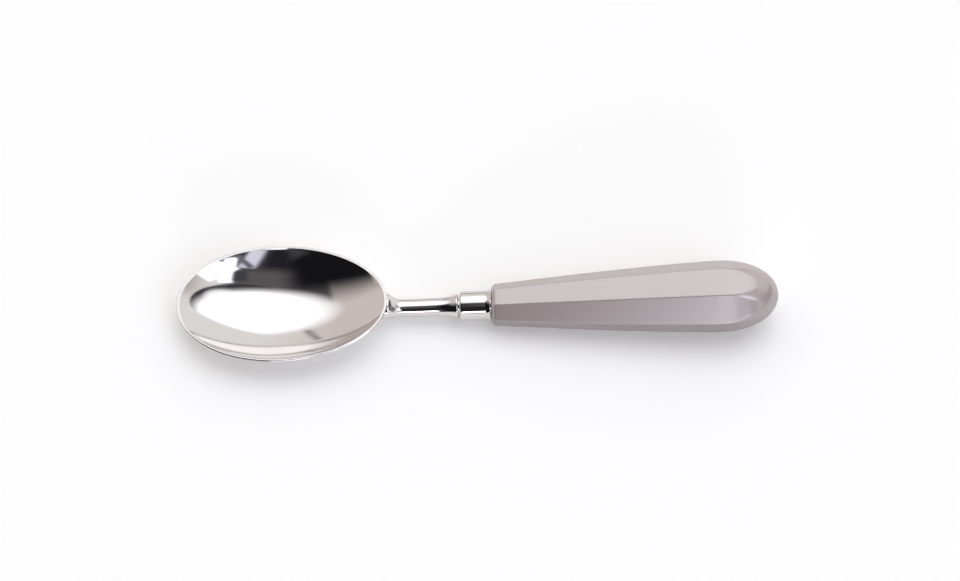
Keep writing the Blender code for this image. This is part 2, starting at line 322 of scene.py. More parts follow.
@dataclass(frozen=True)
class GreigeResin:
    """Satin greige resin, faintly clouded, rubbed down to a fine grain along the handle.

    Attributes:
        slot: The record's slot for it.
        colour: The resin's colour.
        cloud: The colour of its clouds.
        cloud_size: Size of a cloud.
        cloud_stretch: How many times longer a cloud is along each axis.
        cloud_edge: Values of the noise at which a cloud starts and is full.
        gloss: Roughness where it is rubbed smoothest.
        matt: Roughness where it is rubbed least.
        index: Refractive index of its surface.
        shine: How strongly it mirrors, head on.
        grain_size: Width of the grain.
        grain_stretch: How many times longer the grain is along each axis.
        grain_depth: Depth of the grain.
    """

    slot: Slot = Slot.RESIN
    colour: Colour = (0.41, 0.346, 0.331)
    cloud: Colour = (0.39, 0.33, 0.318)
    cloud_size: float = 0.022
    cloud_stretch: Stretch = (3.0, 1.0, 1.0)
    cloud_edge: tuple[float, float] = (0.35, 0.65)
    gloss: float = 0.20
    matt: float = 0.26
    index: float = 1.9
    shine: float = 1.0
    grain_size: float = 0.00035
    grain_stretch: Stretch = (6.0, 1.0, 1.0)
    grain_depth: float = 0.000003

    def make(self) -> bpy.types.Material:
        """Make the material.

        Returns:
            The new material.
        """
        surface = Surface(self.slot.value)
        clouds = surface.noise(self.cloud_size, detail=4.0, stretch=self.cloud_stretch)
        share = surface.ranged(clouds, *self.cloud_edge, 0.0, 1.0)
        surface.set("Base Color", surface.mixed(share, self.colour, self.cloud))
        grain = surface.noise(self.grain_size, detail=3.0, stretch=self.grain_stretch)
        surface.set("Roughness", surface.spread(grain, self.gloss, self.matt))
        surface.set("IOR", self.index)
        surface.set("Specular IOR Level", self.shine)
        surface.set("Normal", surface.bump(grain, self.grain_depth))
        return surface.material


@dataclass(frozen=True)
class SetAdhesive:
    """Set amber adhesive, cloudy with fine bubbles.

    Attributes:
        slot: The record's slot for it.
        colour: The clear adhesive's colour.
        bubbly: Its colour where bubbles cloud it.
        bubble_size: Size of a bubble.
        bubble_edge: Values of the noise at which a bubble starts and is full.
        gloss: Roughness where it is clear.
        matt: Roughness where it is bubbly.
    """

    slot: Slot = Slot.GLUE
    colour: Colour = (0.62, 0.50, 0.30)
    bubbly: Colour = (0.66, 0.57, 0.41)
    bubble_size: float = 0.0006
    bubble_edge: tuple[float, float] = (0.45, 0.7)
    gloss: float = 0.35
    matt: float = 0.5

    def make(self) -> bpy.types.Material:
        """Make the material.

        Returns:
            The new material.
        """
        surface = Surface(self.slot.value)
        bubbles = surface.noise(self.bubble_size, detail=3.0)
        share = surface.ranged(bubbles, *self.bubble_edge, 0.0, 1.0)
        surface.set("Base Color", surface.mixed(share, self.colour, self.bubbly))
        surface.set("Roughness", surface.spread(bubbles, self.gloss, self.matt))
        return surface.material


@dataclass(frozen=True)
class WhiteTable:
    """Plain white table top.

    Attributes:
        colour: Its colour, as the camera and the polished metal see it.
        mottle: The same where it is a touch darker.
        mottle_size: Size of such a place.
        matt: Its roughness.
        shine: How strongly it mirrors, head on.
        bounce: Its colour for the light that it throws back up, which stays dim under the handle.
        lift: How far towards white the camera and the polished metal see it lifted.
        lift_tint: The colour of that lift, a touch warm against the bluish window.
    """

    colour: Colour = (0.98, 0.98, 0.975)
    mottle: Colour = (0.975, 0.975, 0.97)
    mottle_size: float = 0.05
    matt: float = 0.7
    shine: float = 0.1
    bounce: Colour = (0.25, 0.25, 0.25)
    lift: float = 0.135
    lift_tint: Colour = (1.0, 1.0, 0.90)

    def make(self) -> bpy.types.Material:
        """Make the material.

        Returns:
            The new material.
        """
        surface = Surface("white_table")
        mottle = surface.noise(self.mottle_size, detail=2.0)
        path = surface.add("LightPath").outputs
        mirrored = surface.math("MAXIMUM", path["Is Glossy Ray"], path["Is Transmission Ray"])
        seen = surface.math("MAXIMUM", path["Is Camera Ray"], mirrored)
        top = surface.mixed(mottle, self.colour, self.mottle)
        surface.set("Base Color", surface.mixed(seen, self.bounce, top))
        surface.set("Roughness", self.matt)
        surface.set("Specular IOR Level", self.shine)
        surface.set("Emission Color", self.lift_tint)
        surface.set("Emission Strength", surface.math("MULTIPLY", seen, self.lift))
        return surface.material


@dataclass
class Loft:
    """A skin over rings of equally many points.

    Attributes:
        rings: The rings, in order along the skin.
        first: The point that closes the first ring.
        last: The point that closes the last ring. With neither point the skin runs back to its first ring.
    """

    rings: list[Ring]
    first: Vector | None = None
    last: Vector | None = None

    def mesh(self, name: str, lay: Matrix) -> bpy.types.Mesh:
        """Skin the rings.

        Args:
            name: The mesh's name.
            lay: Where the drawn shape goes in the frame.

        Returns:
            A closed mesh with its faces pointing out.
        """
        shape = bmesh.new()
        loops = [[shape.verts.new(lay @ point) for point in ring] for ring in self.rings]
        following = loops[1:] if self.first or self.last else loops[1:] + loops[:1]
        for low, high in zip(loops, following):
            for i in range(len(low)):
                shape.faces.new((low[i - 1], low[i], high[i], high[i - 1]))
        for loop, point in ((loops[0], self.first), (loops[-1], self.last)):
            if point is None:
                continue
            tip = shape.verts.new(lay @ point)
            for i in range(len(loop)):
                shape.faces.new((loop[i - 1], loop[i], tip))
        bmesh.ops.recalc_face_normals(shape, faces=shape.faces)
        mesh = bpy.data.meshes.new(name)
        shape.to_mesh(mesh)
        shape.free()
        mesh.shade_smooth()
        return mesh


@dataclass(frozen=True)
class SpoonAxis:
    """The spoon's own axis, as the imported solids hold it.

    Attributes:
        lay: From the axis, with the tip of the bowl at 0 along X, to the frame.
    """

    lay: Matrix

    @classmethod
    def of_solids(cls, near: bpy.types.Object, far: bpy.types.Object, near_place: float) -> "SpoonAxis":
        """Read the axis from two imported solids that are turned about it.

        Args:
            near: The solid nearer the bowl.
            far: The solid nearer the butt.
            near_place: How far along the axis the nearer solid starts.

        Returns:
            The axis.
        """
        middles = []
        for node in (near, far):
            points = [vertex.co for vertex in node.data.vertices]
            middles.append(sum(points, Vector()) / len(points))
        along = (middles[1] - middles[0]) * Vector((1, 0, 1))
        along.normalize()
        across = Vector((0, 1, 0))
        turn = Matrix((along, across, along.cross(across))).transposed().to_4x4()
        front = min((vertex.co - middles[0]).dot(along) for vertex in near.data.vertices)
        start = middles[0] + along * (front - near_place)
        return cls(Matrix.Translation((start.x, 0, start.z)) @ turn)

    def reach(self, node: bpy.types.Object) -> tuple[Vector, Vector]:
        """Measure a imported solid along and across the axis.

        Args:
            node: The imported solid.

        Returns:
            Its lowest and highest corners about the axis.
        """
        back = self.lay.inverted()
        points = [back @ vertex.co for vertex in node.data.vertices]
        low = Vector(min(point[i] for point in points) for i in range(3))
        high = Vector(max(point[i] for point in points) for i in range(3))
        return low, high


def show(mesh: bpy.types.Mesh, finish: bpy.types.Material, node: Node) -> bpy.types.Object:
    """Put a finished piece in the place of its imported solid.

    Args:
        mesh: The piece's mesh, in the frame, which gives it its name.
        finish: Its material.
        node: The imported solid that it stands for.

    Returns:
        The piece.
    """
    piece = bpy.data.objects.new(mesh.name, mesh)
    bpy.context.scene.collection.objects.link(piece)
    mesh.materials.append(finish)
    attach(piece, BODY)
    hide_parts(node.value)
    LOG.info("%s: %d faces, in place of %s", piece.name, len(mesh.polygons), node.value)
    return piece


def round_about(count: int) -> list[float]:
    """Angles of points spread evenly round a ring, in radians."""
    return [2 * math.pi * i / count for i in range(count)]


def arc(radius: float, centre: tuple[float, float], start: float, end: float, steps: int) -> Profile:
    """Points of a round in a turned profile.

    Args:
        radius: The round's radius.
        centre: Its centre, as a place along the axis and a radius from it.
        start: The angle it starts at, in degrees from straight out.
        end: The angle it ends at, positive towards the butt.
        steps: How many steps it takes.

    Returns:
        Points as (place along the axis, radius from it).
    """
    points = []
    for i in range(steps + 1):
        angle = math.radians(start + (end - start) * i / steps)
        points.append((centre[0] + radius * math.sin(angle), centre[1] + radius * math.cos(angle)))
    return points


def turned_ring(place: float, radius: float, count: int) -> Ring:
    """A round ring square to the axis."""
    turns = round_about(count)
    return [Vector((place, radius * math.sin(turn), radius * math.cos(turn))) for turn in turns]


def eased(value: float) -> float:
    """Ease from 0 to 1, held at both ends."""
    value = min(max(value, 0.0), 1.0)
    return value * value * (3 - 2 * value)


@dataclass
class Bowl:
    """The pressed bowl: the lowest part of an egg-shaped shell of even sheet, its rim rounded over.

    Attributes:
        length: Length of the rim.
        width: Width of the rim.
        depth: Depth outside, from the rim down.
        steepness: How much of the shell's lower half it takes; 1 would have an upright wall.
        sheet: Thickness of the sheet.
        tip_fullness: How much fuller than an ellipse the bowl is towards its tip.
        tip_rise: How much higher above the axis the rim is at its tip than at the neck.
        rim_above_axis: How far the rim's outer edge lies above the axis at the neck.
        rim_rounding: Radius of the easing on both edges of the rim.
        rim_room: How far short of the rim the wall ends, as an angle round the shell.
        around: Points round the bowl.
        down: Rings from the rim down to the belly.
        rim_steps: Steps in each easing.
    """

    length: float = 0.0704
    width: float = 0.0430
    depth: float = 0.0096
    steepness: float = 0.715
    sheet: float = 0.0009
    tip_fullness: float = 0.037
    tip_rise: float = 0.0020
    rim_above_axis: float = 0.0063
    rim_rounding: float = 0.00042
    rim_room: float = 0.012
    around: int = 224
    down: int = 56
    rim_steps: int = 5

    def shell(self) -> Vector:
        """Half the length, the width and the height of the whole shell."""
        share, height = math.sqrt(self.steepness), self.depth / (1 - math.sqrt(1 - self.steepness))
        return Vector((self.length / 2 / share, self.width / 2 / share, height))

    def opening(self) -> float:
        """The angle up round the shell at which the rim lies."""
        return math.asin(math.sqrt(self.steepness))

    def fullness(self, x: float) -> float:
        """How much wider than an ellipse the bowl is at a place along the axis."""
        return 1 - self.tip_fullness * (2 * x / self.length - 1)

    def middle(self, x: float) -> float:
        """How high the shell's middle lies at a place along the axis."""
        return self.rim_above_axis - self.depth + self.shell().z + self.tip_rise * (1 - x / self.length)

    def outside(self, angle: float, rise: float) -> tuple[Vector, Vector]:
        """A place on the outside of the bowl.

        Args:
            angle: The angle round the bowl.
            rise: The angle up round the shell from its lowest place.

        Returns:
            The place, and the direction straight out of the surface there.
        """
        shell = self.shell()
        along, across = math.sin(rise) * math.cos(angle), math.sin(rise) * math.sin(angle)
        down = math.cos(rise)
        x = self.length / 2 + shell.x * along
        fullness = self.fullness(x)
        place = Vector((x, shell.y * across * fullness, self.middle(x) - shell.z * down))
        lean = along / shell.x + across**2 * 2 * self.tip_fullness / (fullness * self.length)
        lean -= down / shell.z * self.tip_rise / self.length
        return place, Vector((lean, across / (fullness * shell.y), -down / shell.z)).normalized()

    def underside(self, x: float, y: float, gap: float) -> float:
        """How high the bowl's back is.

        Args:
            x: The place along the axis.
            y: The place across.
            gap: How far outside the bowl to stay.

        Returns:
            The height above the axis.
        """
        shell = self.shell() + Vector((gap, gap, gap))
        along, across = (x - self.length / 2) / shell.x, y / (shell.y * self.fullness(x))
        return self.middle(x) - shell.z * math.sqrt(max(1 - along**2 - across**2, 0.0))

    def wall(self, rise: float, inset: float) -> Ring:
        """A ring on the wall.

        Args:
            rise: The angle up round the shell.
            inset: How far under the outside it lies.

        Returns:
            The ring.
        """
        ring = []
        for angle in round_about(self.around):
            place, out = self.outside(angle, rise)
            ring.append(place - out * inset)
        return ring

    def rim(self, inset: float, lean: float) -> Ring:
        """A ring on the easing of the rim.

        Args:
            inset: How far in from the outside the easing's centre lies.
            lean: The angle from straight out of the wall up along it, in radians.

        Returns:
            The ring.
        """
        opening = self.opening()
        ring = []
        for angle in round_about(self.around):
            place, out = self.outside(angle, opening)
            up = place - self.outside(angle, opening - NUDGE)[0]
            up = (up - out * up.dot(out)).normalized()
            centre = place - out * inset - up * self.rim_rounding
            ring.append(centre + (out * math.cos(lean) + up * math.sin(lean)) * self.rim_rounding)
        return ring

    def build(self, axis: SpoonAxis, finish: bpy.types.Material) -> None:
        """Build and dress the bowl.

        Args:
            axis: The spoon's axis.
            finish: The material that it is made of.
        """
        top = self.opening() - self.rim_room
        rises = [top * (i + 1) / self.down for i in range(self.down)]
        leans = [math.pi / 2 * i / self.rim_steps for i in range(self.rim_steps + 1)]
        rings = [self.wall(rise, 0.0) for rise in rises]
        rings += [self.rim(self.rim_rounding, lean) for lean in leans]
        rings += [self.rim(self.sheet - self.rim_rounding, math.pi / 2 + lean) for lean in leans]
        rings += [self.wall(rise, self.sheet) for rise in reversed(rises)]
        belly, out = self.outside(0.0, 0.0)
        skin = Loft(rings, first=belly, last=belly - out * self.sheet)
        show(skin.mesh("spoon_bowl", axis.lay), finish, Node.BOWL)


@dataclass
class Neck:
    """The neck: its root flares up to the rim, its waist is slim, and a tang runs on from its shoulder.

    Attributes:
        bowl: The bowl that it is welded to.
        shoulder_face: Place of the shoulder's flat face.
        tang_end: Place of the tang's end.
        waist_diameter: Diameter at the waist.
        waist_from_rim: Distance of the waist from the rim.
        shoulder_diameter: Diameter at the shoulder.
        shoulder_rounding: Radius of the shoulder's round.
        root_below_rim: How far below the rim the root's flare ends.
        root_length: Length of the flare.
        root_reach: How far the root runs on under the bowl, as a tongue.
        root_end: Thickness of the tongue's end.
        weld: How far the root runs into the bowl's sheet.
        tang_diameter: Diameter of the tang.
        tang_point: Length of the taper on the tang's end.
        waist_power: Law of the swell from waist to shoulder.
        flare_power: Law of the root's flare.
        flare_drop: How far down its sides the root flares.
        around: Points round the neck.
        tongue_rings: Rings of the tongue.
        flare_steps: Steps along the root's flare.
        barrel_steps: Steps along the barrel.
        rounding_steps: Steps in the shoulder's round.
    """

    bowl: Bowl
    shoulder_face: float
    tang_end: float
    waist_diameter: float = 0.0062
    waist_from_rim: float = 0.0087
    shoulder_diameter: float = 0.0086
    shoulder_rounding: float = 0.0005
    root_below_rim: float = 0.0005
    root_length: float = 0.0046
    root_reach: float = 0.0145
    root_end: float = 0.0005
    weld: float = 0.0001
    tang_diameter: float = 0.0052
    tang_point: float = 0.0012
    waist_power: float = 5.0
    flare_power: float = 1.9
    flare_drop: float = 0.5
    around: int = 96
    tongue_rings: int = 24
    flare_steps: int = 20
    barrel_steps: int = 24
    rounding_steps: int = 6

    def root_ring(self, from_rim: float) -> Ring:
        """A ring of the root.

        Args:
            from_rim: Its distance from the end of the rim, negative under the bowl.

        Returns:
            The ring, cut to the bowl's back.
        """
        place, waist = self.bowl.length + from_rim, self.waist_diameter / 2
        nearness = 1 - max(from_rim, 0.0) / self.root_length
        flare = (self.bowl.rim_above_axis - self.root_below_rim - waist) * nearness**self.flare_power
        under = max(-from_rim, 0.0) / self.root_reach
        end = self.bowl.underside(self.bowl.length - self.root_reach, 0.0, -self.weld) - self.root_end
        sweep = 1 - (1 + end / waist) * under**2
        ring = []
        for angle in round_about(self.around):
            across, up = math.sin(angle), math.cos(angle)
            radius = waist + flare * eased((self.flare_drop + up) / (self.flare_drop + 1))
            y = radius * across * math.sqrt(1 - under**2)
            z = radius * up * (1.0 if up > 0 else sweep)
            ring.append(Vector((place, y, min(z, self.bowl.underside(place, y, -self.weld)))))
        return ring

    def tongue(self) -> list[Ring]:
        """Rings of the tongue, from its end to the rim, closest at its end."""
        turns = [math.pi / 2 * (i + 0.5) / self.tongue_rings for i in range(self.tongue_rings)]
        return [self.root_ring(-self.root_reach * math.cos(turn)) for turn in turns]

    def barrel(self) -> list[Ring]:
        """The rings of the barrel.

        Returns:
            The rings, from waist to shoulder.
        """
        waist, shoulder = self.waist_diameter / 2, self.shoulder_diameter / 2
        start = self.bowl.length + self.waist_from_rim
        end = self.shoulder_face - self.shoulder_rounding
        rings = []
        for i in range(self.barrel_steps + 1):
            share = i / self.barrel_steps
            radius = waist + (shoulder - waist) * share**self.waist_power
            rings.append(turned_ring(start + (end - start) * share, radius, self.around))
        return rings

    def build(self, axis: SpoonAxis, finish: bpy.types.Material) -> None:
        """Build and dress the neck and its tang.

        Args:
            axis: The spoon's axis.
            finish: The material that it is made of.
        """
        easing, tang = self.shoulder_rounding, self.tang_diameter / 2
        flare = [self.root_length * i / self.flare_steps for i in range(self.flare_steps + 1)]
        rings = self.tongue() + [self.root_ring(from_rim) for from_rim in flare] + self.barrel()
        centre = (self.shoulder_face - easing, self.shoulder_diameter / 2 - easing)
        profile = arc(easing, centre, 0, 90, self.rounding_steps)[1:]
        profile += [(self.shoulder_face, tang), (self.tang_end - self.tang_point, tang)]
        profile += [(self.tang_end, tang - self.tang_point / 2)]
        rings += [turned_ring(place, radius, self.around) for place, radius in profile]
        tongue = self.bowl.length - self.root_reach
        first = Vector((tongue, 0, self.bowl.underside(tongue, 0.0, -self.weld) - self.root_end / 2))
        skin = Loft(rings, first=first, last=Vector((self.tang_end, 0, 0)))
        mesh = skin.mesh("spoon_neck", axis.lay)
        mesh.set_sharp_from_angle(angle=CRISP_STEEL)
        show(mesh, finish, Node.NECK)


@dataclass
class Collar:
    """The turned collar: a rounded front shoulder, a straight barrel and a slight flare against the handle.

    Attributes:
        front: Place of its front face.
        back: Place of its back face.
        flare_diameter: Diameter at the back face.
        diameter: Diameter of the barrel.
        bore_diameter: Diameter of the hole for the tang.
        shoulder_rounding: Radius of the front shoulder.
        lip_rounding: Radius of the easing at the back face.
        flare_length: Length of the flare.
        around: Points round the collar.
        shoulder_steps: Steps in the front shoulder.
        flare_steps: Steps along the flare.
        lip_steps: Steps in the easing at the back face.
    """

    front: float
    back: float
    flare_diameter: float
    diameter: float = 0.0100
    bore_diameter: float = 0.0058
    shoulder_rounding: float = 0.0009
    lip_rounding: float = 0.00012
    flare_length: float = 0.0016
    around: int = 112
    shoulder_steps: int = 10
    flare_steps: int = 12
    lip_steps: int = 4

    def profile(self) -> Profile:
        """The turned profile.

        Returns:
            Points as (place along the axis, radius from it).
        """
        barrel, flare, bore = self.diameter / 2, self.flare_diameter / 2, self.bore_diameter / 2
        points = [(self.front, bore)]
        shoulder = (self.front + self.shoulder_rounding, barrel - self.shoulder_rounding)
        points += arc(self.shoulder_rounding, shoulder, -90, 0, self.shoulder_steps)
        lip = (self.back - self.lip_rounding, flare - self.lip_rounding)
        for i in range(self.flare_steps + 1):
            share = i / self.flare_steps
            points.append((lip[0] - self.flare_length * (1 - share), barrel + (flare - barrel) * share**2))
        points += arc(self.lip_rounding, lip, 0, 90, self.lip_steps)[1:]
        points.append((self.back, bore))
        return points

    def build(self, axis: SpoonAxis, finish: bpy.types.Material) -> None:
        """Build and dress the collar.

        Args:
            axis: The spoon's axis.
            finish: The material that it is made of.
        """
        rings = [turned_ring(place, radius, self.around) for place, radius in self.profile()]
        mesh = Loft(rings).mesh("spoon_collar", axis.lay)
        mesh.set_sharp_from_angle(angle=CRISP_STEEL)
        show(mesh, finish, Node.COLLAR)


@dataclass(frozen=True)
class EightSides:
    """An eight-sided section.

    Attributes:
        width: Its width.
        height: Its height.
        top_flat: Width of its top and bottom flats.
        side_flat: Height of its side flats.
    """

    width: float
    height: float
    top_flat: float
    side_flat: float

    def sizes(self) -> tuple[float, float, float, float]:
        """Its four sizes."""
        return self.width, self.height, self.top_flat, self.side_flat

    def towards(self, other: "EightSides", share: float) -> "EightSides":
        """A section between this one and another."""
        return EightSides(*(a + (b - a) * share for a, b in zip(self.sizes(), other.sizes())))

    def inset(self, depth: float) -> "EightSides":
        """The section with every side moved in."""
        flat = 2 * depth * math.tan(math.pi / 8)
        return EightSides(
            self.width - 2 * depth, self.height - 2 * depth, self.top_flat - flat, self.side_flat - flat
        )

    def scaled(self, scale: float) -> "EightSides":
        """The section made larger or smaller."""
        return EightSides(*(size * scale for size in self.sizes()))

    def outline(self, rounding: float, corner_steps: int) -> list[Vector]:
        """The section's outline with rounded corners.

        Args:
            rounding: Radius of the corners.
            corner_steps: Steps in each corner.

        Returns:
            Points as (y, z), from the right side round by the top.
        """
        corners = []
        for sign_y, sign_z in ((1, 1), (-1, 1), (-1, -1), (1, -1)):
            side = Vector((sign_y * self.width / 2, sign_z * self.side_flat / 2))
            top = Vector((sign_y * self.top_flat / 2, sign_z * self.height / 2))
            corners += [side, top] if sign_y == sign_z else [top, side]
        points = []
        for i, corner in enumerate(corners):
            back = (corners[i - 1] - corner).normalized()
            ahead = (corners[(i + 1) % len(corners)] - corner).normalized()
            half_turn = (math.pi - back.angle(ahead)) / 2
            centre = corner + (back + ahead).normalized() * rounding / math.cos(half_turn)
            start = corner + back * rounding * math.tan(half_turn) - centre
            for step in range(corner_steps + 1):
                points.append(centre + Matrix.Rotation(2 * half_turn * step / corner_steps, 2) @ start)
        return points

    def oval(self, corner_steps: int) -> list[Vector]:
        """An oval of the section's size.

        Args:
            corner_steps: Steps in each corner of the outline that it pairs with.

        Returns:
            Points as (y, z), each of which pairs with one of the outline.
        """
        count = 8 * (corner_steps + 1)
        points = []
        for i in range(count):
            angle = math.pi / 8 + 2 * math.pi * (i - corner_steps / 2) / count
            points.append(Vector((self.width / 2 * math.cos(angle), self.height / 2 * math.sin(angle))))
        return points


@dataclass
class Handle:
    """The eight-sided handle: eased at the front, it swells towards the butt, where its facets melt away.

    Attributes:
        front: Place of its front face.
        end: Place of the butt's end.
        width: Its width at the widest place.
        height: Its height there.
        top_flat: Width of its top and bottom flats there.
        side_flat: Height of its side flats there.
        face: Its section at the front, before the easing.
        widest_from_front: Distance of the widest place from the front.
        front_rounding: Radius of the easing at the front.
        edge_rounding: Radius of the edges between facets.
        swell_power: Law of the swell from front to widest place.
        butt_power: Law of the dome.
        melt_start: Share of the butt where the facets start to melt.
        melt_end: Share of the butt where they are gone.
        bore_diameter: Diameter of the bore for the tang.
        bore_depth: Depth of that bore.
        corner_steps: Steps in each rounded edge.
        front_steps: Sections along the easing at the front.
        stations: Sections along the swell.
        butt_stations: Sections along the dome.
    """

    front: float
    end: float
    width: float
    height: float
    top_flat: float = 0.0097
    side_flat: float = 0.0062
    face: EightSides = EightSides(0.0134, 0.0116, 0.0057, 0.0038)
    widest_from_front: float = 0.0749
    front_rounding: float = 0.0018
    edge_rounding: float = 0.0006
    swell_power: float = 1.3
    butt_power: float = 2.5
    melt_start: float = 0.15
    melt_end: float = 0.9
    bore_diameter: float = 0.0064
    bore_depth: float = 0.0592
    corner_steps: int = 8
    front_steps: int = 9
    stations: int = 64
    butt_stations: int = 40

    def widest(self) -> EightSides:
        """The section at the widest place."""
        return EightSides(self.width, self.height, self.top_flat, self.side_flat)

    def swell(self, place: float) -> list[Vector]:
        """The outline of the swell.

        Args:
            place: The distance from the front, short of the widest place.

        Returns:
            Points as (y, z).
        """
        slimness = (1 - place / self.widest_from_front) ** self.swell_power
        section = self.widest().towards(self.face, slimness)
        if place < self.front_rounding:
            rounding = self.front_rounding
            section = section.inset(rounding - math.sqrt(rounding**2 - (rounding - place) ** 2))
        return section.outline(self.edge_rounding, self.corner_steps)

    def butt(self, share: float) -> list[Vector]:
        """The outline of the butt.

        Args:
            share: The share of the butt, from 0 at the widest place to 1 at the end.

        Returns:
            Points as (y, z).
        """
        scale = math.sqrt(1 - share**self.butt_power)
        section = self.widest().scaled(scale)
        melt = eased((share - self.melt_start) / (self.melt_end - self.melt_start))
        faceted = section.outline(self.edge_rounding * scale, self.corner_steps)
        return [sharp.lerp(soft, melt) for sharp, soft in zip(faceted, section.oval(self.corner_steps))]

    def rings(self) -> list[Ring]:
        """All rings of the handle.

        Returns:
            The rings, from the bottom of the bore out over the front face and along to the butt.
        """
        bore = EightSides(self.bore_diameter, self.bore_diameter, 0.0, 0.0).oval(self.corner_steps)
        outlines = [(self.bore_depth, bore), (0.0, bore)]
        for i in range(self.front_steps):
            place = self.front_rounding * (1 - math.cos(math.pi / 2 * i / self.front_steps))
            outlines.append((place, self.swell(place)))
        span = self.widest_from_front - self.front_rounding
        for i in range(self.stations):
            place = self.front_rounding + span * i / self.stations
            outlines.append((place, self.swell(place)))
        dome = self.end - self.front - self.widest_from_front
        for i in range(self.butt_stations):
            share = math.sin(math.pi / 2 * i / self.butt_stations)
            outlines.append((self.widest_from_front + dome * share, self.butt(share)))
        rings = []
        for place, outline in outlines:
            rings.append([Vector((self.front + place, point.x, point.y)) for point in outline])
        return rings

    def build(self, axis: SpoonAxis, finish: bpy.types.Material) -> None:
        """Build and dress the handle, level with the table where it rests.

        Args:
            axis: The spoon's axis.
            finish: The material that it is made of.
        """
        first, last = Vector((self.front + self.bore_depth, 0, 0)), Vector((self.end, 0, 0))
        mesh = Loft(self.rings(), first=first, last=last).mesh("spoon_handle", axis.lay)
        for vertex in mesh.vertices:
            vertex.co.z = max(vertex.co.z, 0.0)
        mesh.set_sharp_from_angle(angle=CRISP_RESIN)
        handle = show(mesh, finish, Node.HANDLE)
        flats = handle.modifiers.new("Flat facets", "WEIGHTED_NORMAL")
        flats.keep_sharp = True


class Outline(Enum):
    """Outlines of patches of the sky."""

    ROUND = "round"
    SQUARE = "square"


@dataclass(frozen=True)
class SkyPatch:
    """A soft-edged patch of the studio's sky, placed on a map of it in degrees from the zenith.

    Attributes:
        what: What it is.
        right: Its middle towards +X.
        back: Its middle towards +Y.
        half_width: Half its width.
        half_height: Half its height.
        turn: Its turn on the map, anticlockwise.
        edge: How wide its soft edge is.
        colour: What it sends out.
        outline: Its outline.
    """

    what: str
    right: float
    back: float
    half_width: float
    half_height: float
    turn: float
    edge: float
    colour: Colour
    outline: Outline = Outline.SQUARE

    def share(self, graph: Graph, place: Socket) -> Socket:
        """How much of the patch shows.

        Args:
            graph: The world's graph.
            place: The place on the map of the sky.

        Returns:
            The share's socket, from 0 to 1.
        """
        offset = graph.vector("SUBTRACT", place, (self.right, self.back, 0.0))
        turn = graph.add("VectorRotate", rotation_type="Z_AXIS")
        graph.feed(turn.inputs["Vector"], offset)
        turn.inputs["Angle"].default_value = -math.radians(self.turn)
        turned = turn.outputs["Vector"]
        if self.outline is Outline.ROUND:
            away = graph.length(graph.vector("DIVIDE", turned, (self.half_width, self.half_height, 1.0)))
            mean = math.sqrt(self.half_width * self.half_height)
            return self.faded(graph, graph.math("MULTIPLY", away, mean), mean)
        axes = graph.axes(graph.vector("ABSOLUTE", turned))
        across = self.faded(graph, axes["X"], self.half_width)
        along = self.faded(graph, axes["Y"], self.half_height)
        return graph.math("MULTIPLY", across, along)

    def faded(self, graph: Graph, away: Socket, half: float) -> Socket:
        """How much of the patch shows at a distance from its middle."""
        return graph.ranged(away, half - self.edge / 2, half + self.edge / 2, 1.0, 0.0)


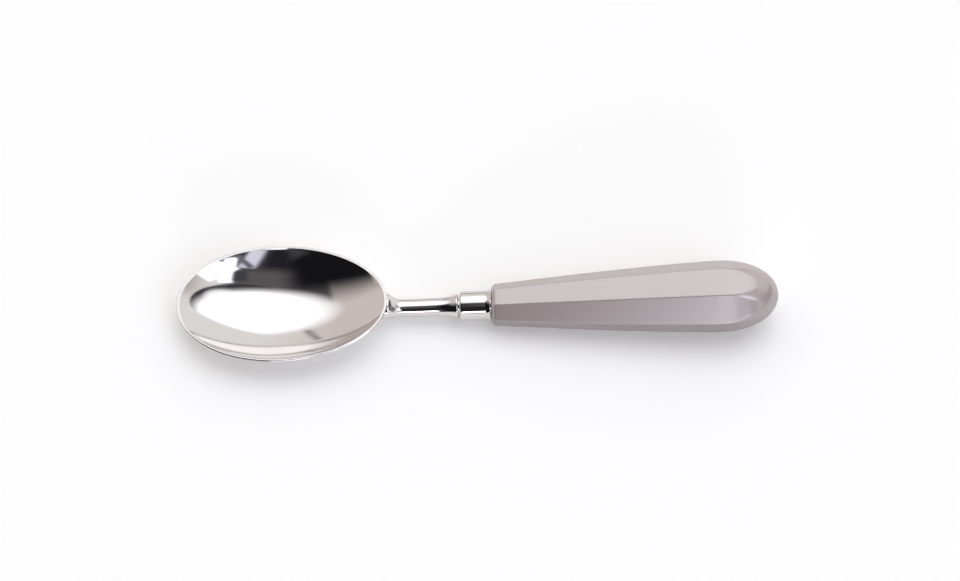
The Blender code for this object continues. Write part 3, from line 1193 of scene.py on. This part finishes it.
@dataclass
class Studio:
    """The studio: a white table, a soft box overhead, a dim room in front with a window, and the camera.

    Attributes:
        table_size: Side of the table.
        table_drop: How far the table lies below the frame's floor, so that no two faces share a plane.
        left_wall: What the wall on the left sends back.
        sweep: What the white sweep behind and on the right sends back.
        wall_end: Where on the map of the sky the left wall starts to give way to the sweep, and is gone.
        patches: What else shows in the sky, each over the ones before it.
        strength: Level of the light.
        lens: Focal length of the camera, in millimetres.
        distance: Distance of the camera from what it looks at.
        azimuth: Its turn to the right of straight in front, in degrees.
        elevation: Its height above the table, in degrees.
        aim: What it looks at.
    """

    table_size: float = 12.0
    table_drop: float = 0.00005
    left_wall: Colour = (0.75, 0.685, 0.665)
    sweep: Colour = (0.93, 0.915, 0.905)
    wall_end: tuple[float, float] = (-35.0, 10.0)
    # What it is, right, back, half width, half height, turn, edge, colour, and its outline if it is round.
    patches: tuple[SkyPatch, ...] = (
        SkyPatch("dark room on the right", 92, 0, 20, 80, 0, 10, (0.05, 0.05, 0.05)),
        SkyPatch("wall on the right", 62, -18, 18, 24, 0, 30, (0.58, 0.53, 0.52)),
        SkyPatch("dark room behind", 0, 87, 75, 8, 0, 8, (0.38, 0.37, 0.37)),
        SkyPatch("stand behind", -18, 62, 1.4, 12, 15, 4, (0.28, 0.26, 0.26)),
        SkyPatch("dim ceiling on the left", -12, -6, 16, 18, 0, 4, (0.20, 0.19, 0.195)),
        SkyPatch("dark room", -31, -62, 48, 60, 15, 44, (0.009, 0.009, 0.011)),
        SkyPatch("foot of the left wall", -80, -35, 14, 30, 0, 8, (0.60, 0.55, 0.53)),
        SkyPatch("doorway on the right", 70, -16, 5, 16, -15, 6, (0.10, 0.10, 0.10)),
        SkyPatch("wall around the window", 12, -62, 26, 26, -35.5, 8, (0.06, 0.06, 0.065)),
        SkyPatch("dark room by the window", -4, -58, 8, 30, 0, 8, (0.018, 0.018, 0.023)),
        SkyPatch("dim ceiling in front", 8, -20, 16, 15, 0, 16, (0.125, 0.118, 0.125)),
        SkyPatch("flag", 17, 14, 31, 29, 0, 3, (0.05, 0.05, 0.06), Outline.ROUND),
        SkyPatch("spill of the soft box", 7, 24, 36, 30.5, 0, 13, (1.3, 1.3, 1.33), Outline.ROUND),
        SkyPatch("near corner of the soft box", 26, 4, 10, 10, 0, 8, (1.25, 1.27, 1.33), Outline.ROUND),
        SkyPatch("soft box", 9.5, 25, 28.5, 28, 0, 10, (1.75, 1.75, 1.79), Outline.ROUND),
        SkyPatch("edge of the soft box", 22.7, 50.9, 26, 7, -32.3, 4, (0.93, 0.915, 0.905)),
        SkyPatch("window", 24.5, -37.5, 4.5, 20.5, 0, 3, (2.2, 2.3, 2.7)),
        SkyPatch("window, right half", 36, -37, 13, 13.5, -42, 3, (2.2, 2.3, 2.7)),
        SkyPatch("foot of the window", 27, -72.5, 11, 4.4, 21, 5, (3.7, 3.5, 3.7)),
        SkyPatch("foot of the pane", 3, -77.5, 14, 5, 0, 4, (6.4, 6.1, 6.6)),
        SkyPatch("narrow pane", 10, -55, 5.2, 16, -12, 4, (0.86, 0.86, 1.02)),
        SkyPatch("glazing bar", 15.5, -51, 2.2, 13, 25, 3, (0.16, 0.16, 0.18)),
        SkyPatch("stand by the window", 16.5, -27, 4.5, 8, 0, 5, (0.06, 0.06, 0.07)),
        SkyPatch("window sill", 33, -58, 9, 3, 30, 4, (0.12, 0.12, 0.13)),
    )
    strength: float = 1.05
    lens: float = 120.0
    distance: float = 1.0619
    azimuth: float = -0.981
    elevation: float = 63.757
    aim: Vector = field(default_factory=lambda: Vector((0.00103, 0.00286, 0.01141)))

    def sky_map(self, graph: Graph) -> Socket:
        """The place on the map of the sky.

        Args:
            graph: The world's graph.

        Returns:
            The place's socket, in degrees from the zenith: X to the right and Y to the back.
        """
        towards = graph.add("TexCoord").outputs["Generated"]
        down = graph.math("DEGREES", graph.math("ARCCOSINE", graph.axes(towards)["Z"]))
        heading = graph.vector("NORMALIZE", graph.vector("MULTIPLY", towards, (1.0, 1.0, 0.0)))
        place = graph.add("VectorMath", operation="SCALE")
        graph.feed(place.inputs["Vector"], heading)
        graph.feed(place.inputs["Scale"], down)
        return place.outputs["Vector"]

    def light(self) -> None:
        """Light the studio by its sky; the camera itself sees the sky as plain white."""
        world = bpy.data.worlds.new("studio")
        world.use_nodes = True
        bpy.context.scene.world = world
        graph = Graph(world.node_tree)
        place = self.sky_map(graph)
        past_wall = graph.ranged(graph.axes(place)["X"], *self.wall_end, 0.0, 1.0)
        colour = graph.mixed(past_wall, self.left_wall, self.sweep)
        for patch in self.patches:
            colour = graph.mixed(patch.share(graph, place), colour, patch.colour)
            colour.node.label = patch.what
        sky = graph.add("Background")
        graph.feed(sky.inputs["Color"], colour)
        sky.inputs["Strength"].default_value = self.strength
        plain = graph.add("Background")
        plain.inputs["Color"].default_value = (1.0, 1.0, 1.0, 1.0)
        seen = graph.add("MixShader")
        graph.feed(seen.inputs["Fac"], graph.add("LightPath").outputs["Is Camera Ray"])
        graph.feed(seen.inputs[1], sky.outputs["Background"])
        graph.feed(seen.inputs[2], plain.outputs["Background"])
        output = graph.add("OutputWorld")
        graph.feed(output.inputs["Surface"], seen.outputs["Shader"])

    def table(self) -> None:
        """Lay the table."""
        half = self.table_size / 2
        mesh = bpy.data.meshes.new("table")
        corners = [(x * half, y * half, -self.table_drop) for x, y in ((-1, -1), (1, -1), (1, 1), (-1, 1))]
        mesh.from_pydata(corners, [], [(0, 1, 2, 3)])
        mesh.materials.append(WhiteTable().make())
        table = bpy.data.objects.new("table", mesh)
        bpy.context.scene.collection.objects.link(table)

    def camera(self) -> None:
        """Stand the camera where the photograph was taken from."""
        turn, rise = math.radians(self.azimuth), math.radians(self.elevation)
        away = Vector((math.sin(turn) * math.cos(rise), -math.cos(turn) * math.cos(rise), math.sin(rise)))
        data = bpy.data.cameras.new("camera")
        data.lens = self.lens
        camera = bpy.data.objects.new("camera", data)
        bpy.context.scene.collection.objects.link(camera)
        camera.location = self.aim + away * self.distance
        camera.rotation_euler = away.to_track_quat("Z", "Y").to_euler()
        bpy.context.scene.camera = camera

    def set_up(self) -> None:
        """Set the studio up."""
        bpy.context.scene.view_settings.view_transform = "Standard"
        self.camera()
        self.light()
        self.table()


def dress_adhesive(node: bpy.types.Object) -> None:
    """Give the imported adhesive, which stays as it is, its finish.

    Args:
        node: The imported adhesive.
    """
    node.data.materials.clear()
    node.data.materials.append(SetAdhesive().make())
    LOG.info("%s: packed solid, dressed", node.name)


def main() -> None:
    """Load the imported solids, set the studio up and build the spoon over them."""
    logging.basicConfig(level=logging.INFO, format="%(name)s %(message)s")
    nodes: dict[str, bpy.types.Object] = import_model()["nodes"]
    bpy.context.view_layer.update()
    Studio().set_up()
    axis = SpoonAxis.of_solids(nodes[Node.COLLAR.value], nodes[Node.GLUE.value], COLLAR_PLACE)
    _, neck_high = axis.reach(nodes[Node.NECK.value])
    collar_low, collar_high = axis.reach(nodes[Node.COLLAR.value])
    handle_low, handle_high = axis.reach(nodes[Node.HANDLE.value])
    steel, resin = PolishedSteel().make(), GreigeResin().make()
    bowl = Bowl()
    bowl.build(axis, steel)
    neck = Neck(bowl=bowl, shoulder_face=collar_low.x - SEAM, tang_end=neck_high.x)
    neck.build(axis, steel)
    collar = Collar(front=collar_low.x, back=collar_high.x, flare_diameter=collar_high.y - collar_low.y)
    collar.build(axis, steel)
    # The handle's underside is levelled where it rests, so its top alone gives the height.
    width, height = handle_high.y - handle_low.y, 2 * handle_high.z
    handle = Handle(front=handle_low.x, end=handle_high.x, width=width, height=height)
    handle.build(axis, resin)
    dress_adhesive(nodes[Node.GLUE.value])


if __name__ == "__main__":
    main()
